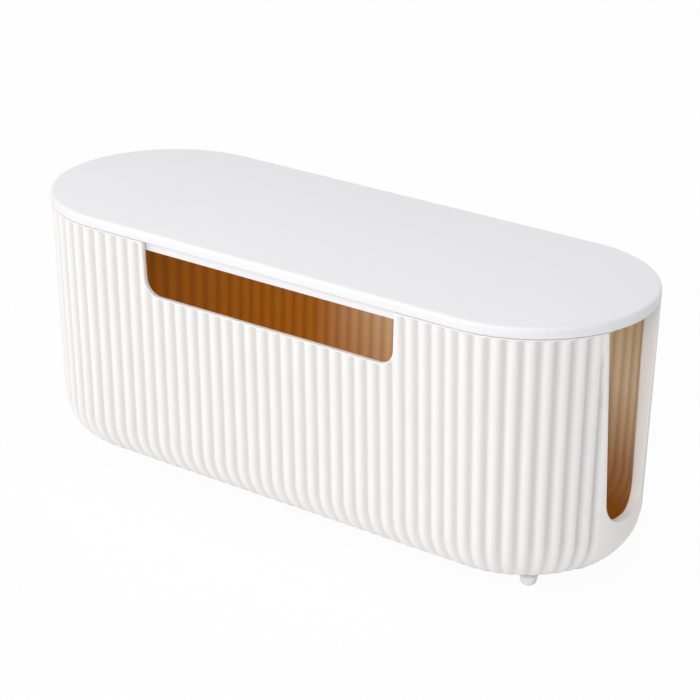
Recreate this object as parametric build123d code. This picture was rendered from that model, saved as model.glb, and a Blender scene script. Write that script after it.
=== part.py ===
"""Cable management box: a fluted tub on four soft feet, closed by a lift-off lid.

The tub is a stadium in plan, drafted towards its underside and rounded into the floor. Upright
flutes run down the wall and fade out on the rounding. The front wall has a wide notch under the
lid. Each end has a tapered port, open at the top, framed by a smooth guard that turns inward.

Millimetres. +X along the box, +Y to the back, +Z up. The origin is at the centre of the box, on
the plane that the feet stand on.
"""
import os
from math import cos, radians, sin, tan

from build123d import *

# Overall
length = 320.0
width = 115.0
overall_height = 132.5
foot_height = 5.0

# Tub
wall = 2.6
draft_angle = 1.75
bottom_rounding = 24.9

# Reeds: the flat-crested ribs that the flutes run between
reeds_per_side = 30
reeds_per_end = 24
reed_crest = 3.8
reed_root = 4.0
flute_depth = 1.3
flute_fade_angle = 62.0
reed_overrun_angle = 6.0
core_margin = 0.5
border_step = 0.1
collar = 1.6

# Notch in the front wall
notch_width = 142.0
notch_depth = 25.6
notch_side_angle = 2.0
notch_corner = 8.0

# Port in each end
port_width = 41.6
port_sill_height = 27.6
port_side_angle = 4.15
port_corner = 12.5
guard_thickness = 2.4
guard_depth = 7.4

# Lid
rim_height = 5.4
rim_thickness = 2.4
plate_thickness = 2.6
lid_edge_chamfer = 0.8
seam_gap = 0.3
lip_drop = 4.75
lip_thickness = 2.0
lip_clearance = 0.6
lip_guard_gap = 1.0

# Feet
foot_end_inset = 36.6
foot_side_inset = 32.6
foot_top_diameter = 8.5
foot_bottom_diameter = 6.4
foot_edge_chamfer = 0.8
foot_pad_height = 2.2

# Derived
half_width = width / 2
end_centre = length / 2 - half_width
underside = foot_height
tub_top = overall_height - rim_height
draft = radians(draft_angle)
outward = Vector(cos(draft), 0, -sin(draft))
reed_pitch = 2 * end_centre / reeds_per_side
reed_step = 180.0 / reeds_per_end
core_inset = border_step + flute_depth + core_margin
notch_floor = tub_top - notch_depth
port_sill = underside + port_sill_height
half_sill = port_width / 2 - tan(radians(port_side_angle)) * (tub_top - port_sill)
lip_end = length / 2 - guard_depth - lip_guard_gap
lip_inset = wall + lip_clearance
past = 10.0


def wall_offset(z, inset=0.0):
    """Distance from the centre plane to the wall at height z, moved inward by inset."""
    return half_width - tan(draft) * (tub_top - z) - inset / cos(draft)


def rounding_centre(inset, floor):
    """Centre of the rounding between the wall and the floor, in the XZ plane."""
    z = floor + bottom_rounding
    return Vector(wall_offset(z, inset + bottom_rounding), 0, z)


def half_section(inset, floor, top):
    """Half of a cross-section of the tub: flat floor, rounding, drafted wall up to top."""
    centre = rounding_centre(inset, floor)
    tangent = centre + outward * bottom_rounding
    outline = Curve() + [
        Line((0, floor), (centre.X, floor)),
        CenterArc((centre.X, centre.Z), bottom_rounding, -90, 90 - draft_angle),
        Line((tangent.X, tangent.Z), (wall_offset(top, inset), top)),
        Line((wall_offset(top, inset), top), (0, top)),
        Line((0, top), (0, floor)),
    ]
    return make_face(outline)


def slab(half, thickness):
    """Full cross-section, extruded along X by thickness about x = 0."""
    across = half + mirror(half, about=Plane.YZ)
    return extrude(Plane.YZ * across, amount=thickness / 2, both=True)


def sector(half, angle):
    """Half section turned about Z by angle, centred on +X."""
    return Rot(0, 0, -angle / 2) * revolve(Plane.XZ * half, Axis.Z, angle)


def tub_form(inset, floor, top):
    """Solid form of the tub: a straight middle and two revolved ends."""
    half = half_section(inset, floor, top)
    right = Pos(end_centre, 0, 0) * sector(half, 180)
    return slab(half, 2 * end_centre) + right + mirror(right, about=Plane.YZ)


def reed_section():
    """Section of a reed: a flat crest at the origin, facing +Y, and flanks down to its root."""
    spread = (reed_pitch - reed_crest) / (2 * flute_depth)
    half_root = reed_crest / 2 + spread * reed_root
    corners = [
        (-half_root, -reed_root),
        (half_root, -reed_root),
        (reed_crest / 2, 0),
        (-reed_crest / 2, 0),
    ]
    return make_face(Polyline(*corners, close=True))


def reed():
    """One reed in the XZ plane with +X outward.

    A prism follows the drafted wall. An elbow of a smaller radius than the rounding sinks it
    into the core at the fade angle, so that the flutes beside it run out.
    """
    crest_over_core = core_inset - border_step
    sink = crest_over_core / (1 - cos(radians(flute_fade_angle)))
    elbow_radius = bottom_rounding + crest_over_core - sink
    elbow_centre = rounding_centre(core_inset, underside) + outward * sink
    bend = elbow_centre + outward * elbow_radius
    top_z = tub_top - collar / 2
    top = Vector(wall_offset(top_z, border_step), 0, top_z)
    down = (bend - top).normalized()
    across = (0, 1, 0)
    straight = extrude(Plane(top, across, down) * reed_section(), amount=(bend - top).length)
    elbow_angle = flute_fade_angle + reed_overrun_angle
    turn = Axis(elbow_centre, across)
    return straight + revolve(Plane(bend, across, down) * reed_section(), turn, elbow_angle)


def reeded_form():
    """The tub's form with reeds: one slab per reed on the sides, one sector on the ends."""
    core = half_section(core_inset, underside, tub_top)
    side_cell = Box(reed_pitch, 2 * width, 3 * overall_height)
    side_reeds = [Rot(0, 0, -90) * reed() & side_cell, Rot(0, 0, 90) * reed() & side_cell]
    side_unit = slab(core, reed_pitch) + side_reeds
    end_cell = sector(Rectangle(width, 3 * overall_height, align=(Align.MIN, Align.CENTER)), reed_step)
    end_unit = sector(core, reed_step) + (reed() & end_cell)
    units = []
    for index in range(reeds_per_side):
        units.append(Pos((index + 0.5) * reed_pitch - end_centre, 0, 0) * side_unit)
    for index in range(reeds_per_end):
        angle = (index + 0.5) * reed_step - 90
        units.append(Pos(end_centre, 0, 0) * Rot(0, 0, angle) * end_unit)
        units.append(Pos(-end_centre, 0, 0) * Rot(0, 0, 180 - angle) * end_unit)
    return units[0] + units[1:]


def tapered_cut(half_top, half_low, low, corner, margin):
    """Outline of a cut that is open at the top: sides that lean in, rounded lower corners."""
    slope = (half_top - half_low) / (tub_top - low)
    half_over = half_top + slope * past
    corners = [
        (-half_over, tub_top + past),
        (half_over, tub_top + past),
        (half_low, low),
        (-half_low, low),
    ]
    face = make_face(Polyline(*corners, close=True))
    face = fillet(face.vertices().sort_by(Axis.Y)[:2], corner)
    return offset(face, margin) if margin else face


def notch_prism(margin=0.0):
    """Notch in the front wall as a prism, grown by margin."""
    half_low = notch_width / 2 - tan(radians(notch_side_angle)) * notch_depth
    face = tapered_cut(notch_width / 2, half_low, notch_floor, notch_corner, margin)
    return Pos(0, -half_width / 2, 0) * extrude(Plane.XZ * face, amount=half_width)


def port_prism(margin=0.0):
    """Right-hand port as a prism from inside the tub to past its end, grown by margin."""
    face = tapered_cut(port_width / 2, half_sill, port_sill, port_corner, margin)
    return Pos(end_centre, 0, 0) * extrude(Plane.YZ * face, amount=half_width + past)


def both_ends(shape):
    return [shape, mirror(shape, about=Plane.YZ)]


def guard_blocks():
    """Space inside the tub that the ports' guards fill, down to their inner reach."""
    reach = half_width - guard_depth
    core = Pos(end_centre, 0, 0) * Cylinder(reach, 3 * overall_height)
    return both_ends(port_prism(guard_thickness) - core)


def border_blocks():
    """Regions where the outside stays plain: round the ports and below them, and the notch."""
    panel_width = 2 * (half_sill + guard_thickness)
    panel_top = port_sill + port_corner
    panel = Pos(end_centre, 0, panel_top / 2) * Box(
        width, panel_width, panel_top, align=(Align.MIN, Align.CENTER, Align.CENTER)
    )
    return both_ends(port_prism(guard_thickness) + panel) + [notch_prism(collar)]


def foot_places():
    """Centre of each foot, by node name."""
    x = length / 2 - foot_end_inset
    y = half_width - foot_side_inset
    return {
        "foot_front_left": (-x, -y),
        "foot_front_right": (x, -y),
        "foot_back_left": (-x, y),
        "foot_back_right": (x, y),
    }


def box_body():
    plain = tub_form(0, underside, tub_top)
    rim = Pos(0, 0, tub_top - collar) * Box(
        2 * length, 2 * width, collar, align=(Align.CENTER, Align.CENTER, Align.MIN)
    )
    borders = [plain & block for block in border_blocks() + [rim]]
    pads = [
        Pos(x, y, underside) * extrude(Circle(foot_top_diameter / 2), foot_pad_height)
        for x, y in foot_places().values()
    ]
    cavity = tub_form(wall, underside + wall, tub_top + past) - guard_blocks()
    body = reeded_form() + borders + pads
    return body - [cavity, notch_prism()] - both_ends(port_prism())


def stadium(half_length, radius):
    """Stadium in plan: two half circles of the given radius joined by straight sides."""
    return SlotCenterToCenter(2 * (half_length - radius), 2 * radius)


def lid():
    underneath = tub_top + seam_gap
    plate_under = overall_height - plate_thickness
    shell = extrude(stadium(length / 2, half_width), amount=overall_height - underneath)
    shell = chamfer(shell.edges().group_by(Axis.Z)[-1], lid_edge_chamfer)
    hollow = stadium(length / 2 - rim_thickness, half_width - rim_thickness)
    shell -= extrude(hollow, amount=plate_under - underneath)
    lip_outer = stadium(lip_end, half_width - lip_inset)
    lip_inner = stadium(lip_end - lip_thickness, half_width - lip_inset - lip_thickness)
    lip_low = tub_top - lip_drop
    lip = extrude(lip_outer - lip_inner, amount=plate_under - lip_low)
    return Pos(0, 0, underneath) * shell + Pos(0, 0, lip_low) * lip


def foot():
    """Soft foot: a short cone with an eased lower edge, standing on z = 0."""
    taper = Cone(
        foot_bottom_diameter / 2,
        foot_top_diameter / 2,
        foot_height,
        align=(Align.CENTER, Align.CENTER, Align.MIN),
    )
    return chamfer(taper.edges().group_by(Axis.Z)[0], foot_edge_chamfer)


def main():
    os.makedirs("parts", exist_ok=True)
    nodes = {"box_body": box_body(), "lid": lid()}
    for name, (x, y) in foot_places().items():
        nodes[name] = Pos(x, y, 0) * foot()
    for name, shape in nodes.items():
        shape.label = name
        export_step(shape, f"parts/{name}.step")
        print(name, "solids", len(shape.solids()), "volume", round(shape.volume / 1000, 2), "cm3")


if __name__ == "__main__":
    main()
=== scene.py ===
"""Looks of the cable management box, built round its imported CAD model.

The tub's wall is drawn flat, with its notch and ports cut out and their edges rounded. A
Geometry Nodes tree wraps it round the stadium plan, drafts it, turns it under the floor and
presses the flutes in. The lid and a foot are rows of a section, wrapped by the same rule.
"""
import math

import bpy
from bpy.props import FloatProperty, FloatVectorProperty, IntProperty, PointerProperty
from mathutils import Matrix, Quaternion, Vector
from mathutils.geometry import delaunay_2d_cdt
from mathutils.kdtree import KDTree


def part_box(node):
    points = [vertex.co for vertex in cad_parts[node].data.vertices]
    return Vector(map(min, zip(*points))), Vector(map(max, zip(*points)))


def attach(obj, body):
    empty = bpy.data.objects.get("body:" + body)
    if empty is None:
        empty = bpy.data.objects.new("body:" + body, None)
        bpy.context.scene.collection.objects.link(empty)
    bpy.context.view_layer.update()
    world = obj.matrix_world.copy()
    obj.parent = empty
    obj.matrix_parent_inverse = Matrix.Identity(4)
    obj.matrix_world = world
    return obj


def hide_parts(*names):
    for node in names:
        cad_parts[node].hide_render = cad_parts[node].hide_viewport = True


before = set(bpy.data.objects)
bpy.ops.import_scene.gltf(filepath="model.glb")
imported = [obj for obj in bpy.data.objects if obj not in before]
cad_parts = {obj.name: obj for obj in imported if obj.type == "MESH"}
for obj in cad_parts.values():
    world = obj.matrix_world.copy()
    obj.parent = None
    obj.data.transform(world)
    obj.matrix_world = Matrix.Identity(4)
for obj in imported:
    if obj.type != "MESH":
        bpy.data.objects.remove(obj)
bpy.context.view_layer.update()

bl_info = {
    "name": "Fluted cable box",
    "version": (1, 0, 0),
    "blender": (4, 5, 0),
    "location": "3D View > Sidebar > Cable Box",
    "description": "Builds a fluted cable management box with a lift-off lid",
    "category": "Add Mesh",
}

MM = 0.001
QUARTER = math.pi / 2
SEAM_GAP = 0.3 * MM  # between the tub's rim and the lid's
WELD = 0.01 * MM  # places closer than this are one
TINY = 1e-7  # lengths and counts closer than this are the same
TUB_LOW, TUB_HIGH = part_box("box_body")
LID_LOW, LID_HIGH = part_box("lid")
FEET = ["foot_front_left", "foot_front_right", "foot_back_left", "foot_back_right"]


def size(name, millimetres, description):
    return FloatProperty(
        name=name, default=millimetres * MM, unit="LENGTH", description=description
    )


def turn(name, degrees, description):
    return FloatProperty(
        name=name, default=math.radians(degrees), subtype="ANGLE", description=description
    )


def number(name, default, description):
    return FloatProperty(name=name, default=default, description=description)


def factor(name, default, description):
    return FloatProperty(name=name, default=default, subtype="FACTOR", description=description)


def power(name, watts, description):
    return FloatProperty(name=name, default=watts, unit="POWER", description=description)


def colour(name, red, green, blue, description):
    return FloatVectorProperty(
        name=name,
        default=(red, green, blue),
        size=3,
        min=0.0,
        max=1.0,
        subtype="COLOR",
        description=description,
    )


class TubSizes(bpy.types.PropertyGroup):
    """Sizes of the fluted tub."""

    wall: size("Wall", 2.6, "Thickness of the wall at the flutes' crests")
    draft: turn("Draft", 1.75, "Lean of the wall towards the underside")
    rounding: size("Rounding", 24.9, "Radius between the wall and the floor")
    side_flutes: IntProperty(name="Side Flutes", default=30, description="Flutes on each side")
    end_flutes: IntProperty(name="End Flutes", default=24, description="Flutes round each end")
    flute_depth: size("Flute Depth", 1.6, "Depth of a flute on the upright wall")
    flute_power: number("Flute Power", 1.8, "Above 1 the flutes narrow and the crests broaden")
    lining_depth: size("Lining Depth", 0.6, "Depth of the waves that the flutes leave inside")
    core_inset: size("Core Inset", 1.9, "How far in the rounding lies where the flutes end")
    crest_inset: size("Crest Inset", 0.1, "How far the crests stay behind the plain collar")
    fade: turn("Fade", 62, "Angle round the rounding at which the flutes have run out")
    collar: size("Collar", 0.45, "Plain band along the rim and the notch")
    run_out: size("Run-out", 0.65, "Length over which a flute rises to a plain band")
    edge_rounding: size("Edge Rounding", 0.5, "Radius along the rim, the notch and the ports")
    notch_width: size("Notch Width", 142, "Width of the front notch at the rim")
    notch_depth: size("Notch Depth", 25.6, "Depth of the front notch below the rim")
    notch_lean: turn("Notch Lean", 2, "Lean of the notch's sides")
    notch_corner: size("Notch Corner", 8, "Radius of the notch's lower corners")
    port_width: size("Port Width", 41.6, "Width of an end port at the rim")
    port_depth: size("Port Depth", 94.5, "Depth of an end port below the rim")
    port_lean: turn("Port Lean", 4.15, "Lean of the port's sides")
    port_corner: size("Port Corner", 12.5, "Radius of the port's lower corners")
    guard: size("Guard", 2.4, "Thickness of the guard that frames a port")
    guard_depth: size("Guard Depth", 7.4, "How far the guard reaches in from the tub's end")


class LidSizes(bpy.types.PropertyGroup):
    """Sizes of the lid."""

    plate: size("Plate", 2.6, "Thickness of the lid's plate")
    rim: size("Rim", 2.4, "Thickness of the rim that hangs from the plate")
    edge_rounding: size("Edge Rounding", 1.6, "Radius along the top edge")
    low_rounding: size("Low Rounding", 0.6, "Radius along the rim's and the lip's lower edges")
    lip: size("Lip", 2, "Thickness of the lip that locates the lid")
    lip_inset: size("Lip Inset", 3.2, "How far the lip lies inside the rim's face")
    lip_end_inset: size("Lip End Inset", 8.4, "The same at the two ends, clear of the guards")


class FootSizes(bpy.types.PropertyGroup):
    """Sizes of the feet."""

    tip: size("Tip", 6.4, "Diameter where a foot stands")
    rounding: size("Rounding", 1.6, "Radius round the tip")


class Finishes(bpy.types.PropertyGroup):
    """Colours of the mouldings and the feet."""

    tub: colour("Tub", 0.912, 0.896, 0.876, "Outside of the tub")
    lining: colour("Lining", 0.35, 0.112, 0.004, "Inside of the tub, at its left end and low down")
    # painted light: the paler colour the lining is lit to towards its right end and upwards
    lining_painted_light: colour("Pale Lining", 0.74, 0.60, 0.39, "Inside of the tub, at its right end")
    # painted shade: the two below darken the flutes' valleys outside and the stripes over them
    # inside
    tub_painted_valley_shade: factor("Tub Groove", 0.25, "How much darker the bottom of a flute is")
    lining_painted_valley_shade: factor("Lining Groove", 0.28, "The same for the stripes inside")
    lid: colour("Lid", 0.868, 0.863, 0.888, "Lid")
    foot: colour("Foot", 0.94, 0.915, 0.89, "Feet")


class StageSettings(bpy.types.PropertyGroup):
    """Strengths of the lights."""

    sky: number("Sky", 0.43, "Strength of the even white light")
    key: power("Key", 8.4, "Power of the soft light in front, at the right")
    side: power("Side", 7.3, "Power of the soft light in front, at the left")
    top: power("Top", 6.6, "Power of the soft light over the lid")
    back: power("Back", 6, "Power of the soft light behind")
    inside: power("Inside", 0.101, "Power of the light on the back wall inside the tub")


class Wire:
    """An output socket, with arithmetic that adds Math nodes."""

    def __init__(self, bench, socket):
        self.bench = bench
        self.socket = socket

    def math(self, operation, *others):
        return self.bench.add("ShaderNodeMath", [self, *others], operation=operation)

    def __add__(self, other):
        return self.math("ADD", other)

    def __sub__(self, other):
        return self.math("SUBTRACT", other)

    def __mul__(self, other):
        return self.math("MULTIPLY", other)

    def __truediv__(self, other):
        return self.math("DIVIDE", other)

    def __pow__(self, other):
        return self.math("POWER", other)

    def __rsub__(self, other):
        return self.bench.add("ShaderNodeMath", [other, self], operation="SUBTRACT")

    __radd__ = __add__
    __rmul__ = __mul__

    def at_least(self, other):
        return self.math("MAXIMUM", other)

    def at_most(self, other):
        return self.math("MINIMUM", other)

    def over(self, other):
        return self.math("GREATER_THAN", other)

    def sine(self):
        return self.math("SINE")

    def cosine(self):
        return self.math("COSINE")

    def floor(self):
        return self.math("FLOOR")

    def outputs(self):
        """All outputs of the same node, by name."""
        sockets = self.socket.node.outputs
        return {socket.name: Wire(self.bench, socket) for socket in sockets if socket.name}

    def parts(self):
        """The three numbers of a vector."""
        return self.bench.add("ShaderNodeSeparateXYZ", [self]).outputs().values()


class Bench:
    """Adds nodes to one tree."""

    def __init__(self, tree):
        self.tree = tree

    def add(self, kind, values=(), out=0, **settings):
        """An output of a new node, its settings made first and then its inputs set or linked."""
        node = self.tree.nodes.new(kind)
        for name, value in settings.items():
            setattr(node, name, value)
        for key, value in values.items() if isinstance(values, dict) else enumerate(values):
            if isinstance(value, Wire):
                self.tree.links.new(value.socket, node.inputs[key])
            else:
                node.inputs[key].default_value = value
        return Wire(self, node.outputs[out] if node.outputs else None)

    def attribute(self, name, kind="FLOAT"):
        return self.add("GeometryNodeInputNamedAttribute", [name], data_type=kind)


def new_geometry_tree(name, sizes):
    """A Geometry Nodes tree with named inputs: its bench, its geometry and its inputs."""
    tree = bpy.data.node_groups.new(name, "GeometryNodeTree")
    tree.interface.new_socket("Geometry", in_out="INPUT", socket_type="NodeSocketGeometry")
    for label in sizes:
        tree.interface.new_socket(label, in_out="INPUT", socket_type="NodeSocketFloat")
    tree.interface.new_socket("Geometry", in_out="OUTPUT", socket_type="NodeSocketGeometry")
    bench = Bench(tree)
    inputs = bench.add("NodeGroupInput").outputs()
    return bench, inputs.pop("Geometry"), inputs


def finish_geometry_tree(bench, geometry, finish, lining=None):
    """Ends a tree: instances made real, edges smooth, one material, another on the lining."""
    joined = bench.add("GeometryNodeRealizeInstances", [geometry])
    smooth = bench.add("GeometryNodeSetShadeSmooth", [joined])
    done = bench.add("GeometryNodeSetMaterial", {0: smooth, 2: finish})
    if lining:
        inside = bench.attribute("lining", "BOOLEAN")
        done = bench.add("GeometryNodeSetMaterial", [done, inside, lining])
    bench.add("NodeGroupOutput", [done])


def run_tree(name, mesh, bench, sizes):
    """A piece at the origin, made by running a tree on a mesh."""
    piece = bpy.data.objects.new(name, mesh)
    bpy.context.scene.collection.objects.link(piece)
    modifier = piece.modifiers.new(name, "NODES")
    modifier.node_group = bench.tree
    for item in bench.tree.interface.items_tree:
        if item.in_out == "INPUT" and item.name in sizes:
            modifier[item.identifier] = sizes[item.name]
    evaluated = piece.evaluated_get(bpy.context.evaluated_depsgraph_get())
    result = bpy.data.meshes.new_from_object(evaluated)
    piece.modifiers.remove(modifier)
    piece.data = result
    bpy.data.meshes.remove(mesh)
    return piece


def stadium(count, spine, side_flutes, end_flutes):
    """Spine point and outward direction on the plan, for a count of flutes along the wall.

    The count starts at the front left and runs past the front, the right end, the back and the
    left end. The second half of the lap is the first one turned half round.
    """
    half_lap = side_flutes + end_flutes
    second = (count / half_lap).floor().at_most(1)
    on_half = count - second * half_lap
    flip = 1 - second * 2
    along = (on_half / side_flutes).at_most(1) * 2 - 1
    angle = ((on_half - side_flutes) / end_flutes).at_least(0) * math.pi - QUARTER
    return flip * along * spine, flip * angle.cosine(), flip * angle.sine()


def spaced(first, last, step):
    """Points from first to last, no further apart than step."""
    count = max(1, math.ceil((last - first).length / step))
    return [first.lerp(last, index / count) for index in range(count + 1)]


def spread(low, high, count):
    """Evenly spread values above low, up to high."""
    return [low + (high - low) * index / count for index in range(1, count + 1)]


def quarter(radius, steps):
    """Rounded edge: distances from the edge's plane and from the face beside it."""
    turns = [QUARTER * index / steps for index in range(steps + 1)]
    return [(radius * (1 - math.sin(t)), radius * (1 - math.cos(t))) for t in turns]


def mitre(before, after):
    """Normal to the left of a path at one of its corners, long enough to keep its offset."""
    first = Vector((-before.y, before.x)).normalized()
    second = Vector((-after.y, after.x)).normalized()
    return (first + second) / (1 + first.dot(second))


class Cut:
    """A cut in the wall, open at the rim: sides that lean in and rounded lower corners."""

    STEP = 1.2 * MM  # between the points of its outline

    def __init__(self, width, depth, lean, corner):
        self.half_top = width / 2
        self.depth = depth
        self.lean = lean
        self.corner = corner
        self.half_low = self.half_top - math.tan(lean) * depth

    def path(self):
        """Outline from its left end on the rim, down and round to its right end."""
        low = Vector((-self.half_low, -self.depth))
        top = Vector((-self.half_top, 0))
        up = (top - low).normalized()
        half_angle = up.angle(Vector((1, 0))) / 2
        tangent = self.corner / math.tan(half_angle)
        middle = (up + Vector((1, 0))).normalized() * self.corner / math.sin(half_angle)
        first, last = low + up * tangent, low + Vector((tangent, 0))
        sweep = math.pi - 2 * half_angle
        start = math.atan2(first.y - low.y - middle.y, first.x - low.x - middle.x)
        left = spaced(top, first, self.STEP)
        for angle in spread(start, start + sweep, math.ceil(self.corner * sweep / self.STEP))[:-1]:
            left.append(low + middle + Vector((math.cos(angle), math.sin(angle))) * self.corner)
        left += spaced(last, Vector((0, -self.depth)), self.STEP)
        return left + [Vector((-point.x, point.y)) for point in left[-2::-1]]

    def clearance(self, across, height):
        """Distance from a place in the wall to the cut."""
        half = self.half_low + (height + self.depth) * math.tan(self.lean)
        beside = (abs(across) - half) * math.cos(self.lean) + self.corner
        below = self.corner - self.depth - height
        return math.hypot(max(beside, 0), max(below, 0)) - self.corner


class TubPattern:
    """The tub's wall drawn flat, with its notch, its ports and their rounded edges.

    A place on it is (run along the wall, drop below the rim, inset into the wall).
    """

    GRID = 1e7  # places are told apart to a ten-millionth of a metre
    COLUMNS = 8  # along one flute
    EDGE_STEPS = 3  # facets round a quarter of an edge
    OUTER_DROPS = (0.62, 0.76, 0.9, 1.04, 1.3, 2.0, 3.5, 5.5)  # rows under the rim, in mm
    OUTER_ROWS = (10, 14)  # further down the wall, and round the rounding
    INNER_DROPS = (1.4, 2.4, 3.4, 5.0)
    INNER_ROWS = (7, 10)
    OUTER_STEP = 0.7 * MM  # between the rows of a patch
    INNER_STEP = 1.6 * MM
    CLEARANCE = 0.7 * MM  # from a patch's outline to the places inside it
    RIM_GAP = 0.03  # of a flute, between the rim's rows and a cut's
    NOSE = 0.45  # radius of a guard's nose, by the guard's thickness
    NOTCH_PATCH = (6 * MM, 5 * MM)  # how far a patch reaches beside and below the notch
    PORT_PATCH = (4, 0.8 * MM)  # half its width in flutes, and its reach below the guard

    def __init__(self, sizes):
        self.sizes = sizes
        self.half_width = LID_HIGH.y
        self.rim = TUB_HIGH.z
        self.underside = TUB_LOW.z
        self.spine = LID_HIGH.x - LID_HIGH.y
        self.pitch = 2 * self.spine / sizes.side_flutes
        self.step = self.pitch / self.COLUMNS
        self.half_lap = sizes.side_flutes + sizes.end_flutes
        self.lap = 2 * self.half_lap * self.pitch
        self.notch = Cut(
            sizes.notch_width, sizes.notch_depth, sizes.notch_lean, sizes.notch_corner
        )
        self.port = Cut(sizes.port_width, sizes.port_depth, sizes.port_lean, sizes.port_corner)
        self.places = {}
        self.faces = []
        self.inside = []

    def face(self, corners, inside=False):
        """A face on the given places, seen from outside anticlockwise unless it is inside."""
        indices = []
        for place in corners:
            key = tuple(round(value * self.GRID) for value in place)
            index = self.places.setdefault(key, len(self.places))
            if index not in indices:
                indices.append(index)
        if len(indices) > 2:
            self.faces.append(indices[::-1] if inside else indices)
            self.inside.append(inside)

    def upright(self, inset):
        """Length of the straight wall, from the rim down to the rounding."""
        draft = self.sizes.draft
        rise = self.underside + inset + self.sizes.rounding * (1 - math.sin(draft))
        return (self.rim - rise) / math.cos(draft)

    def reach(self, drop, inset=0.0):
        """Distance from the spine to the straight wall."""
        draft = self.sizes.draft
        return self.half_width - drop * math.sin(draft) - inset / math.cos(draft)

    def on_front(self, point, inset):
        """Place of a point of the notch, drawn about its middle on the rim."""
        return (point.x + self.spine, -point.y / math.cos(self.sizes.draft), inset)

    def on_end(self, point, inset, half_laps=0):
        """Place of a point of a port, which is cut straight through the curved end."""
        drop = -point.y / math.cos(self.sizes.draft)
        turned = math.asin(point.x / self.reach(drop, inset)) / math.pi + 0.5
        count = self.sizes.side_flutes + self.sizes.end_flutes * turned
        return ((count + half_laps * self.half_lap) * self.pitch, drop, inset)

    def on_far_end(self, point, inset):
        return self.on_end(point, inset, 1)

    def fluting(self, run, drop, inset):
        """How fully the flutes are pressed in at a place: 0 on plain bands, 1 elsewhere."""
        sizes = self.sizes
        count = run / self.pitch
        on_half = count % self.half_lap
        height = -drop * math.cos(sizes.draft)
        clear = drop - sizes.collar
        if count < sizes.side_flutes:
            clear = min(clear, self.notch.clearance(run - self.spine, height) - sizes.collar)
        elif on_half > sizes.side_flutes:
            angle = ((on_half - sizes.side_flutes) / sizes.end_flutes - 0.5) * math.pi
            across = max(self.reach(drop), self.half_width / 2) * math.sin(angle)
            beside = abs(across) - self.port.half_low  # the plain panel below a port
            if inset or height > self.port.corner - self.port.depth:
                beside = self.port.clearance(across, height)
            clear = min(clear, beside - sizes.guard)
        share = min(max(clear / sizes.run_out, 0), 1)
        return share * share * (3 - 2 * share)

    def wall_edge(self):
        """Section of the plain wall's rounded edge, from its outer face to its inner one."""
        outer = quarter(self.sizes.edge_rounding, self.EDGE_STEPS)
        return outer + [(back, self.sizes.wall - depth) for back, depth in outer[::-1]]

    def guard_edge(self, depth):
        """Section of a guard, from its face in the port, round its nose to its root."""
        guard = self.sizes.guard
        nose = quarter(guard * self.NOSE, self.EDGE_STEPS)
        near = [(back, depth - rise) for back, rise in nose[::-1]]
        far = [(guard - back, depth - rise) for back, rise in nose]
        return [(0, self.sizes.wall)] + near + far + [(guard, self.sizes.wall)]

    def rim_rows(self, start, stop, before=None, after=None):
        """Edge rows along the rim, their last places held clear of the guards' roots."""
        rows = []
        last = math.floor(stop / self.step + TINY)
        for column in range(math.ceil(start / self.step), last + 1):
            run = column * self.step
            row = [(run, drop, inset) for drop, inset in self.wall_edge()]
            if before and run < before[0]:
                row[-1] = before
            if after and run > after[0]:
                row[-1] = after
            rows.append(row)
        return rows

    def cut_rows(self, cut, place, guarded):
        """Edge rows round a cut."""
        path = cut.path()
        lean = math.cos(self.sizes.draft)
        guard_reach = self.half_width - self.sizes.guard_depth
        level = Vector((1, 0))
        rows = []
        for index, point in enumerate(path):
            before = point - path[index - 1] if index else level
            after = path[index + 1] - point if index + 1 < len(path) else level
            normal = mitre(before, after)
            section = [(point - normal * back, depth) for back, depth in self.wall_edge()]
            if guarded:
                depth = (self.reach(-point.y / lean) - guard_reach) * lean
                if index in (0, len(path) - 1):
                    normal = Vector((math.copysign(1, -point.x), 0))
                root = [(point - normal * back, rise) for back, rise in self.guard_edge(depth)]
                if index in (0, len(path) - 1):
                    root[-1][0].y = -self.sizes.edge_rounding  # it meets the rim's inner edge
                section[self.EDGE_STEPS + 1 :] = root
            rows.append([place(corner, inset) for corner, inset in section])
        return rows

    def edges(self):
        """Faces of the rim and round the cuts, and the rows that they were made from."""
        gap = self.RIM_GAP * self.pitch
        cuts = [
            (self.notch, self.on_front, False),
            (self.port, self.on_end, True),
            (self.port, self.on_far_end, True),
        ]
        runs, start, root = [], 0.0, None
        for cut, place, guarded in cuts:
            rows = self.cut_rows(cut, place, guarded)
            near, far = (rows[0][-1], rows[-1][-1]) if guarded else (None, None)
            runs.append((False, self.rim_rows(start, rows[0][0][0] - gap, root, near)))
            runs.append((guarded, rows))
            start, root = rows[-1][0][0] + gap, far
        runs.append((False, self.rim_rows(start, self.lap, root)))
        last = None
        for guarded, rows in runs:
            if last:
                self.join(*last, guarded, rows[0])
            for first, second in zip(rows, rows[1:]):
                self.strip(first, second)
            last = (guarded, rows[-1])
        return [row for _, rows in runs for row in rows]

    def strip(self, first, second):
        """Faces between two edge rows."""
        for index in range(len(first) - 1):
            self.face([first[index], second[index], second[index + 1], first[index + 1]])

    def join(self, first_guarded, first, second_guarded, second):
        """Faces between the rim and a cut, with the flat top of a guard."""
        steps = self.EDGE_STEPS
        if first_guarded:
            self.face(first[:steps:-1])
            first = first[: steps + 1] + [first[steps + 1]] * steps + [first[-1]]
        if second_guarded:
            self.face(second[steps + 1 :])
            second = second[: steps + 1] + [second[steps + 1]] * steps + [second[-1]]
        self.strip(first, second)

    def drops(self, inset, near_rim, on_wall, on_rounding):
        """Rows of the plain grid: close under the rim and round the rounding, then the floor."""
        upright = self.upright(inset)
        bottom = upright + self.sizes.rounding * (QUARTER - self.sizes.draft)
        drops = [self.sizes.edge_rounding] + [drop * MM for drop in near_rim]
        drops += spread(drops[-1], upright, on_wall) + spread(upright, bottom, on_rounding)
        return drops + [bottom + MM, bottom + self.half_width]

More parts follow.
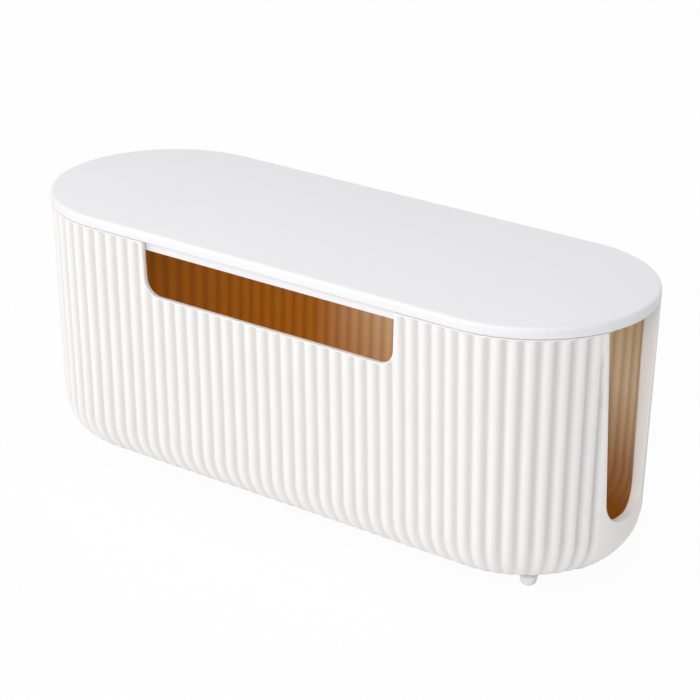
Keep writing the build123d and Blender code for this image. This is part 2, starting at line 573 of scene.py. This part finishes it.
    def sheet(self, border, drops, inset, fine):
        """One face of the wall: a plain grid, with finer patches round the cuts."""
        sizes = self.sizes
        half_turn = self.half_lap * self.pitch
        end = (sizes.side_flutes + sizes.end_flutes / 2) * self.pitch
        beside, below = self.NOTCH_PATCH
        notch = (sizes.notch_width / 2 + beside, sizes.notch_depth + below)
        flutes, below = self.PORT_PATCH
        port = (flutes * self.pitch, sizes.port_depth + sizes.guard + below)
        blocks = [
            self.block(self.spine, *notch, drops),
            self.block(end, *port, drops),
            self.block(end + half_turn, *port, drops),
        ]
        for row in range(len(drops) - 1):
            for column in range(round(self.lap / self.step)):
                if not any(a <= column < b and row < low for a, b, low in blocks):
                    left, right = column * self.step, (column + 1) * self.step
                    high, low = drops[row], drops[row + 1]
                    corners = [(left, low), (right, low), (right, high), (left, high)]
                    self.face([(*corner, inset) for corner in corners], inset > 0)
        for block in blocks:
            self.patch(block, border, drops, inset, fine)

    def block(self, middle, half_run, depth, drops):
        """Columns and rows of the plain grid that a patch takes over."""
        low = next(index for index, drop in enumerate(drops) if drop >= depth)
        first = math.floor((middle - half_run) / self.step)
        return first, math.ceil((middle + half_run) / self.step), low

    def patch(self, block, border, drops, inset, fine):
        """Triangles between the border of a cut and the plain grid round it."""
        first, last, low = block
        start, stop = first * self.step, last * self.step
        outline = []
        for run, drop, _ in border:
            point = Vector((run, -drop))
            if start - TINY < run < stop + TINY and (not outline or point != outline[-1]):
                outline.append(point)
        outline += [Vector((stop, -drop)) for drop in drops[1 : low + 1]]
        for column in range(last - 1, first, -1):
            outline.append(Vector((column * self.step, -drops[low])))
        outline += [Vector((start, -drop)) for drop in drops[low:0:-1]]
        tree = KDTree(len(outline))
        for index, point in enumerate(outline):
            tree.insert((point.x, point.y, 0), index)
        tree.balance()
        inner = []
        for drop in spread(drops[0], drops[low], round((drops[low] - drops[0]) / fine))[:-1]:
            for column in range(first + 1, last):
                point = Vector((column * self.step, -drop))
                if tree.find((point.x, point.y, 0))[2] > self.CLEARANCE:
                    inner.append(point)
        loop = list(range(len(outline)))[::-1]
        points, _, triangles, *_ = delaunay_2d_cdt(outline + inner, [], [loop], 1, TINY)
        for triangle in triangles:
            self.face([(points[i].x, -points[i].y, inset) for i in triangle], inset > 0)

    def mesh(self):
        """The flat pattern with its attributes, x along the wall, y up it and z out of it."""
        wall = self.sizes.wall
        rows = self.edges()
        outer = self.drops(0, self.OUTER_DROPS, *self.OUTER_ROWS)
        inner = self.drops(wall, self.INNER_DROPS, *self.INNER_ROWS)
        self.sheet([row[0] for row in rows], outer, 0.0, self.OUTER_STEP)
        self.sheet([row[-1] for row in rows], inner, wall, self.INNER_STEP)
        places = [[value / self.GRID for value in key] for key in self.places]
        mesh = bpy.data.meshes.new("tub_pattern")
        mesh.from_pydata([(run, -drop, -inset) for run, drop, inset in places], [], self.faces)
        fluting = mesh.attributes.new("fluting", "FLOAT", "POINT").data
        fluting.foreach_set("value", [self.fluting(*place) for place in places])
        lining = mesh.attributes.new("lining", "BOOLEAN", "FACE").data
        lining.foreach_set("value", self.inside)
        return mesh


def tub_tree(finish, lining):
    """Wraps the flat pattern of the wall round the tub's form and presses the flutes in."""
    bench, pattern, inputs = new_geometry_tree("fluted_wall", [
        "Rim Height", "Underside", "Half Width", "Spine", "Pitch", "Side Flutes", "End Flutes",
        "Wall", "Draft", "Rounding", "Core Inset", "Crest Height", "Flute Depth", "Flute Power",
        "Lining Depth", "Fade",
    ])
    run, up, out = bench.add("GeometryNodeInputPosition").parts()
    drop, inset = up * -1, out * -1
    fluting = bench.attribute("fluting")
    within = inset.over(inputs["Wall"] / 2)
    outside = 1 - within
    count = run / inputs["Pitch"]
    spine_x, out_x, out_y = stadium(
        count, inputs["Spine"], inputs["Side Flutes"], inputs["End Flutes"]
    )

    draft, radius = inputs["Draft"], inputs["Rounding"]
    low = inputs["Underside"] + inset.at_most(inputs["Wall"]) + radius * (1 - draft.sine())
    upright = (inputs["Rim Height"] - low) / draft.cosine()
    on_wall = drop.at_most(upright)
    past = (drop - upright).at_least(0)
    bend = (past / radius).at_most(QUARTER - draft)
    on_floor = (past - radius * (QUARTER - draft)).at_least(0)
    lean = draft + bend
    lateral = (inset + inputs["Core Inset"] * fluting * outside) / draft.cosine()
    reach = inputs["Half Width"] - lateral - on_wall * draft.sine()
    reach = (reach + radius * (lean.cosine() - draft.cosine()) - on_floor).at_least(0)
    height = inputs["Rim Height"] - on_wall * draft.cosine()
    height = height - radius * (lean.sine() - draft.sine())

    valley = (((count * (2 * math.pi)).cosine() + 1) / 2).at_least(0) ** inputs["Flute Power"]
    crest = inputs["Crest Height"]
    sunk = (1 - bend.cosine()) / (1 - inputs["Fade"].cosine())
    ridge = (crest * (1 - sunk)).at_least(0) * (1 - valley * inputs["Flute Depth"] / crest)
    hollow = inputs["Lining Depth"] * (1 - valley) * (1 - bend / inputs["Fade"]).at_least(0)
    lift = (ridge * outside + hollow * within) * fluting
    across = reach + lift * lean.cosine()
    place = bench.add("ShaderNodeCombineXYZ", [
        spine_x + out_x * across, out_y * across, height - lift * lean.sine(),
    ])
    # painted shade: 1 at the bottom of each flute, fading out round the rounding, for the
    # materials to darken the colour by
    painted_valley_shade = valley * fluting * (1 - bend / inputs["Fade"]).at_least(0)
    marked = bench.add("GeometryNodeStoreNamedAttribute", {0: pattern, 2: "painted_valley_shade", 3: painted_valley_shade})
    wrapped = bench.add("GeometryNodeSetPosition", {0: marked, 2: place})
    closed = bench.add("GeometryNodeMergeByDistance", {0: wrapped, 2: WELD})
    finish_geometry_tree(bench, closed, finish, lining)
    return bench


def turned_mesh(name, section, counts):
    """Rows of a section on the flat: x is the count along the plan, y the reach, z the height."""
    places, spines, faces = [], [], []
    for spine, reach, height in section:
        places += [(count, reach, height) for count in counts]
        spines += [spine] * len(counts)
    for row in range(len(section) - 1):
        for column in range(len(counts) - 1):
            high, low = row * len(counts) + column, (row + 1) * len(counts) + column
            faces.append([low, low + 1, high + 1, high])
    mesh = bpy.data.meshes.new(name)
    mesh.from_pydata(places, [], faces)
    mesh.attributes.new("spine", "FLOAT", "POINT").data.foreach_set("value", spines)
    return mesh


def turned_form(bench, section, inputs):
    """Wraps rows of a section round the plan."""
    count, reach, height = bench.add("GeometryNodeInputPosition").parts()
    spine = bench.attribute("spine")
    spine_x, out_x, out_y = stadium(count, spine, inputs["Side Flutes"], inputs["End Flutes"])
    place = bench.add("ShaderNodeCombineXYZ", [
        spine_x + out_x * reach, out_y * reach, height,
    ])
    wrapped = bench.add("GeometryNodeSetPosition", {0: section, 2: place})
    return bench.add("GeometryNodeMergeByDistance", {0: wrapped, 2: WELD})


def plan_counts(side_flutes, end_flutes, facets):
    """Counts of flutes along the plan: none between the ends of a side, facets round an end."""
    half_lap = side_flutes + end_flutes
    counts = [0.0]
    for lap in (0, half_lap):
        counts.append(lap + side_flutes)
        counts += spread(lap + side_flutes, lap + half_lap, facets)
    return counts


def eased(first, corner, last, radius, steps=3):
    """Rounded corner of a section, between its neighbours."""
    corner = Vector(corner)
    towards = (Vector(first) - corner).normalized() * radius
    onwards = (Vector(last) - corner).normalized() * radius
    middle = corner + towards + onwards
    turns = [QUARTER * index / steps for index in range(steps + 1)]
    return [tuple(middle - onwards * math.cos(t) - towards * math.sin(t)) for t in turns]


def lid_section(lid, spine, half_width):
    """Section of the lid, from the middle of its top round the rim and the lip, and back."""
    low, high = LID_LOW.z, LID_HIGH.z
    under = high - lid.plate
    rim_low = TUB_HIGH.z + SEAM_GAP
    inner = half_width - lid.rim
    outline = [
        (0, high), (half_width, high), (half_width, rim_low), (inner, rim_low), (inner, under),
    ]
    radii = [lid.edge_rounding, lid.low_rounding, lid.low_rounding, 0]
    shell = [(spine, *point) for point in rounded(outline + [(0, under)], radii)[:-1]]
    lip_spine = spine - (lid.lip_end_inset - lid.lip_inset)
    lip_out = half_width - lid.lip_inset
    lip_in = lip_out - lid.lip
    outline = [(lip_out, under), (lip_out, low), (lip_in, low), (lip_in, under)]
    lip = [(lip_spine, *point) for point in rounded(outline, [lid.low_rounding] * 2)]
    return shell + lip + [(lip_spine, lip_in - lid.lip, under), (lip_spine, 0, under)]


def rounded(outline, radii):
    """An outline with its inner corners eased by the given radii."""
    points = [outline[0]]
    for first, corner, last, radius in zip(outline, outline[1:], outline[2:], radii):
        points += eased(first, corner, last, radius) if radius else [corner]
    return points + [outline[-1]]


def foot_section(foot, top, high):
    """Section of a foot, from the middle of its top down its side to the middle of its tip."""
    tip = foot.tip / 2
    return [(0.0, *point) for point in rounded(
        [(0, high), (top, high), (tip, 0), (0, 0)], [0, foot.rounding]
    )]


def new_material(name):
    material = bpy.data.materials.new(name)
    material.use_nodes = True
    material.node_tree.nodes.clear()
    return material, Bench(material.node_tree)


def noise(bench, where, scale, detail=2.0):
    """Soft noise, its scale in features to a metre."""
    return bench.add(
        "ShaderNodeTexNoise", {"Vector": where, "Scale": scale, "Detail": detail}
    )


def fade(bench, place, span):
    """0 before a span, 1 past it."""
    return bench.add("ShaderNodeMapRange", [place, *span])


def mixed(bench, share, first, second):
    """Colour between two colours."""
    return bench.add(
        "ShaderNodeMix", {0: share, 6: first, 7: second}, out=2, data_type="RGBA"
    )


def shade(base, share=1.0):
    """A share of a colour, as a colour socket takes it."""
    return (*[min(value * share, 1) for value in base], 1)


CLOUD_SCALE = 14  # of the slow changes of tint
TINT_SPREAD = 0.015
PATCH_SCALE = 60  # of the slow changes of roughness
ROUGHNESS_SPREAD = 0.1
BUMP_STRENGTH = 0.35
BUMP_HEIGHT = 0.05 * MM
# painted light: spans over which the lining is lit paler towards the right end and upwards
PAINTED_LIGHT_ALONG = (-0.05, 0.045)  # where the lining turns pale towards the right end
PAINTED_LIGHT_ABOVE = (0.02, 0.075)  # and upwards
PAINTED_LIGHT_WAVER = (0.02, 0.01)  # how far the clouds shift these two


def moulded(name, base, grain, roughness, gloss=0.4, painted_valley_shade=0.0, painted_light=None):
    """Fine matte moulded plastic: a grain of small bumps over slow changes of tint.

    The base colour darkens by a share in the flutes' valleys as painted shade, and fades to a
    paler colour as painted light.
    """
    material, bench = new_material(name)
    where = bench.add("ShaderNodeTexCoord", out=3)
    cloud = noise(bench, where, CLOUD_SCALE, 3)
    tint = mixed(bench, cloud, shade(base, 1 - TINT_SPREAD), shade(base, 1 + TINT_SPREAD))
    # painted light: the lining fades to the paler colour towards the right end and upwards
    if painted_light:
        right, _, height = where.parts()
        along = fade(bench, right + cloud * PAINTED_LIGHT_WAVER[0], PAINTED_LIGHT_ALONG)
        above = fade(bench, height + cloud * PAINTED_LIGHT_WAVER[1], PAINTED_LIGHT_ABOVE)
        tint = mixed(bench, along * above, tint, shade(painted_light))
    # painted shade: darker in the flutes' valleys and in the stripes inside, by the stored share
    if painted_valley_shade:
        depth = bench.add("ShaderNodeAttribute", out=2, attribute_name="painted_valley_shade")
        tint = mixed(bench, depth * painted_valley_shade, tint, (0, 0, 0, 1))
    patches = noise(bench, where, PATCH_SCALE)
    rough = patches * ROUGHNESS_SPREAD + (roughness - ROUGHNESS_SPREAD / 2)
    fine = noise(bench, where, 1 / grain)
    bump = bench.add("ShaderNodeBump", {
        "Strength": BUMP_STRENGTH, "Distance": BUMP_HEIGHT, "Height": fine,
    })
    surface = bench.add("ShaderNodeBsdfPrincipled", {
        "Base Color": tint, "Roughness": rough, "Normal": bump, "Specular IOR Level": gloss,
    })
    bench.add("ShaderNodeOutputMaterial", [surface])
    return material


def backdrop_share(bench, share):
    """Share of a backdrop's own white, for what the camera, gloss and glass see."""
    rays = bench.add("ShaderNodeLightPath").outputs()
    seen = rays["Is Camera Ray"].at_least(rays["Is Glossy Ray"])
    return seen.at_least(rays["Is Transmission Ray"]) * share


class BuildTub(bpy.types.Operator):
    """Build the fluted tub with its notch and its two guarded ports"""

    bl_idname = "cable_box.build_tub"
    bl_label = "Fluted Tub"

    def execute(self, context):
        scene = context.scene
        sizes, finishes = scene.tub_sizes, scene.finishes
        pattern = TubPattern(sizes)
        finish = moulded(
            "white_moulding", finishes.tub, grain=0.9 * MM, roughness=0.5,
            painted_valley_shade=finishes.tub_painted_valley_shade,
        )
        lining = moulded(
            "brown_lining", finishes.lining, grain=0.9 * MM, roughness=0.6, gloss=0.1,
            painted_valley_shade=finishes.lining_painted_valley_shade, painted_light=finishes.lining_painted_light,
        )
        piece = run_tree("fluted_tub", pattern.mesh(), tub_tree(finish, lining), {
            "Rim Height": pattern.rim,
            "Underside": pattern.underside,
            "Half Width": pattern.half_width,
            "Spine": pattern.spine,
            "Pitch": pattern.pitch,
            "Side Flutes": float(sizes.side_flutes),
            "End Flutes": float(sizes.end_flutes),
            "Wall": sizes.wall,
            "Draft": sizes.draft,
            "Rounding": sizes.rounding,
            "Core Inset": sizes.core_inset,
            "Crest Height": sizes.core_inset - sizes.crest_inset,
            "Flute Depth": sizes.flute_depth,
            "Flute Power": sizes.flute_power,
            "Lining Depth": sizes.lining_depth,
            "Fade": sizes.fade,
        })
        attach(piece, "tub")
        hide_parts("box_body")
        return {"FINISHED"}


class BuildLid(bpy.types.Operator):
    """Build the flat lid with its rim and the lip under it"""

    bl_idname = "cable_box.build_lid"
    bl_label = "Flat Lid"
    FACETS = 96  # round an end

    def execute(self, context):
        scene = context.scene
        tub, lid = scene.tub_sizes, scene.lid_sizes
        half_width = LID_HIGH.y
        section = lid_section(lid, LID_HIGH.x - half_width, half_width)
        counts = plan_counts(tub.side_flutes, tub.end_flutes, self.FACETS)
        mesh = turned_mesh("lid_section", section, counts)
        bench, rows, inputs = new_geometry_tree("turned_lid", ["Side Flutes", "End Flutes"])
        finish = moulded("white_lid", scene.finishes.lid, grain=0.7 * MM, roughness=0.45)
        finish_geometry_tree(bench, turned_form(bench, rows, inputs), finish)
        piece = run_tree("flat_lid", mesh, bench, {
            "Side Flutes": float(tub.side_flutes), "End Flutes": float(tub.end_flutes),
        })
        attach(piece, "lid")
        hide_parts("lid")
        return {"FINISHED"}


class BuildFeet(bpy.types.Operator):
    """Build the four soft feet"""

    bl_idname = "cable_box.build_feet"
    bl_label = "Soft Feet"
    FACETS = 24  # round half a foot

    def execute(self, context):
        scene = context.scene
        low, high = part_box(FEET[-1])
        middle = (low + high) / 2
        section = foot_section(scene.foot_sizes, (high.x - low.x) / 2, high.z)
        mesh = turned_mesh("foot_section", section, plan_counts(1, 1, self.FACETS))
        bench, rows, inputs = new_geometry_tree("four_feet", [
            "Side Flutes", "End Flutes", "Length Between", "Width Between",
        ])
        foot = turned_form(bench, rows, inputs)
        corners = bench.add("GeometryNodeMeshGrid", [
            inputs["Length Between"], inputs["Width Between"], 2, 2,
        ])
        feet = bench.add("GeometryNodeInstanceOnPoints", {"Points": corners, "Instance": foot})
        finish = moulded("grey_rubber", scene.finishes.foot, grain=0.6 * MM, roughness=0.75)
        finish_geometry_tree(bench, feet, finish)
        piece = run_tree("soft_feet", mesh, bench, {
            "Side Flutes": 1.0,
            "End Flutes": 1.0,
            "Length Between": 2 * middle.x,
            "Width Between": 2 * middle.y,
        })
        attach(piece, "tub")
        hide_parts(*FEET)
        return {"FINISHED"}


class SetStage(bpy.types.Operator):
    """Set the floor, the lights and the camera"""

    bl_idname = "cable_box.set_stage"
    bl_label = "Stage"
    WHITE = (1, 1, 1, 1)
    FLOOR_REACH = 8
    FLOOR_COLOUR = (0.93, 0.93, 0.93, 1)
    FLOOR_WHITE = 0.95  # share of plain white in what is seen of the floor
    LAMP_DISTANCE = 1.7
    LAMP_SIZE = (0.9, 0.9)
    LAMP_TARGET = (0, 0, 0.07)
    INSIDE_PLACE = (-0.016, -0.044, 0.05)  # close to the front wall, clear of the curved end
    INSIDE_SIZE = (0.21, 0.04)
    LENS = 124.36  # millimetres, as the sensor
    SENSOR = 36
    SHIFT = (0.0141, 0.0107)
    CAMERA_TARGET = (0, 0, 0.0688)
    CAMERA_SIDE = (0.5501, -0.7383, 0.3903)
    CAMERA_DISTANCE = 1.13344
    CAMERA_ROLL = 0.282  # degrees

    def execute(self, context):
        stage = context.scene.stage_settings
        self.set_floor(context.scene)
        self.set_world(context.scene, stage.sky)
        self.add_soft_lamp("key", azimuth=20, elevation=25, watts=stage.key)
        self.add_soft_lamp("side", azimuth=-40, elevation=25, watts=stage.side)
        self.add_soft_lamp("top", azimuth=0, elevation=88, watts=stage.top)
        back = self.add_soft_lamp("back", azimuth=185, elevation=12, watts=stage.back)
        back.visible_glossy = False  # its image would lie on the lid
        inside = Vector(self.INSIDE_PLACE)
        behind = inside + Vector((0, 1, 0))
        self.add_lamp("inside", inside, behind, self.INSIDE_SIZE, stage.inside)
        self.set_camera(context.scene)
        return {"FINISHED"}

    def set_floor(self, scene):
        mesh = bpy.data.meshes.new("floor")
        reach = self.FLOOR_REACH
        corners = [(-reach, -reach, 0), (reach, -reach, 0), (reach, reach, 0), (-reach, reach, 0)]
        mesh.from_pydata(corners, [], [(0, 1, 2, 3)])
        floor = bpy.data.objects.new("floor", mesh)
        scene.collection.objects.link(floor)
        material, bench = new_material("white_floor")
        matte = bench.add("ShaderNodeBsdfDiffuse", [self.FLOOR_COLOUR])
        white = bench.add("ShaderNodeEmission", [self.WHITE, 1.0])
        share = backdrop_share(bench, self.FLOOR_WHITE)
        surface = bench.add("ShaderNodeMixShader", [share, matte, white])
        bench.add("ShaderNodeOutputMaterial", [surface])
        mesh.materials.append(material)

    def set_world(self, scene, sky):
        world = bpy.data.worlds.new("studio")
        world.use_nodes = True
        world.node_tree.nodes.clear()
        bench = Bench(world.node_tree)
        light = bench.add("ShaderNodeBackground", [self.WHITE, sky])
        white = bench.add("ShaderNodeBackground", [self.WHITE, 1.0])
        surface = bench.add("ShaderNodeMixShader", [backdrop_share(bench, 1), light, white])
        bench.add("ShaderNodeOutputWorld", [surface])
        scene.world = world

    def add_soft_lamp(self, name, azimuth, elevation, watts):
        """A large lamp round the box, by degrees from the front and above the floor."""
        across, above = math.radians(azimuth), math.radians(elevation)
        level = math.cos(above)
        away = Vector((level * math.sin(across), -level * math.cos(across), math.sin(above)))
        place = away * self.LAMP_DISTANCE
        return self.add_lamp(name, place, Vector(self.LAMP_TARGET), self.LAMP_SIZE, watts)

    def add_lamp(self, name, place, target, sides, watts):
        """A rectangular lamp that the camera doesn't see."""
        lamp = bpy.data.lights.new(name, "AREA")
        lamp.shape = "RECTANGLE"
        lamp.size, lamp.size_y = sides
        lamp.energy = watts
        light = bpy.data.objects.new(name, lamp)
        light.location = place
        light.rotation_euler = (place - target).to_track_quat("Z", "Y").to_euler()
        light.visible_camera = False
        bpy.context.scene.collection.objects.link(light)
        return light

    def set_camera(self, scene):
        lens = bpy.data.cameras.new("camera")
        lens.lens = self.LENS
        lens.sensor_width = self.SENSOR
        lens.shift_x, lens.shift_y = self.SHIFT
        camera = bpy.data.objects.new("camera", lens)
        away = Vector(self.CAMERA_SIDE).normalized()
        camera.location = Vector(self.CAMERA_TARGET) + away * self.CAMERA_DISTANCE
        roll = Quaternion((0, 0, 1), math.radians(self.CAMERA_ROLL))
        camera.rotation_euler = (away.to_track_quat("Z", "Y") @ roll).to_euler()
        scene.collection.objects.link(camera)
        scene.camera = camera
        scene.view_settings.view_transform = "Standard"


class CableBoxPanel(bpy.types.Panel):
    """Lists the pieces and their sizes"""

    bl_idname = "VIEW3D_PT_cable_box"
    bl_label = "Cable Box"
    bl_space_type = "VIEW_3D"
    bl_region_type = "UI"
    bl_category = "Cable Box"

    def draw(self, context):
        for operator in OPERATORS:
            self.layout.operator(operator.bl_idname)
        for name in SETTINGS:
            box = self.layout.box()
            group = getattr(context.scene, name)
            for value in group.bl_rna.properties:
                if value.identifier not in ("rna_type", "name"):
                    box.prop(group, value.identifier)


SETTINGS = {
    "tub_sizes": TubSizes,
    "lid_sizes": LidSizes,
    "foot_sizes": FootSizes,
    "finishes": Finishes,
    "stage_settings": StageSettings,
}
OPERATORS = [SetStage, BuildTub, BuildLid, BuildFeet]


def register():
    for kind in [*SETTINGS.values(), *OPERATORS, CableBoxPanel]:
        bpy.utils.register_class(kind)
    for name, kind in SETTINGS.items():
        setattr(bpy.types.Scene, name, PointerProperty(type=kind))


def unregister():
    for name in SETTINGS:
        delattr(bpy.types.Scene, name)
    for kind in [CableBoxPanel, *OPERATORS[::-1], *list(SETTINGS.values())[::-1]]:
        bpy.utils.unregister_class(kind)


def main():
    register()
    bpy.ops.cable_box.set_stage()
    bpy.ops.cable_box.build_tub()
    bpy.ops.cable_box.build_lid()
    bpy.ops.cable_box.build_feet()


if __name__ == "__main__":
    main()
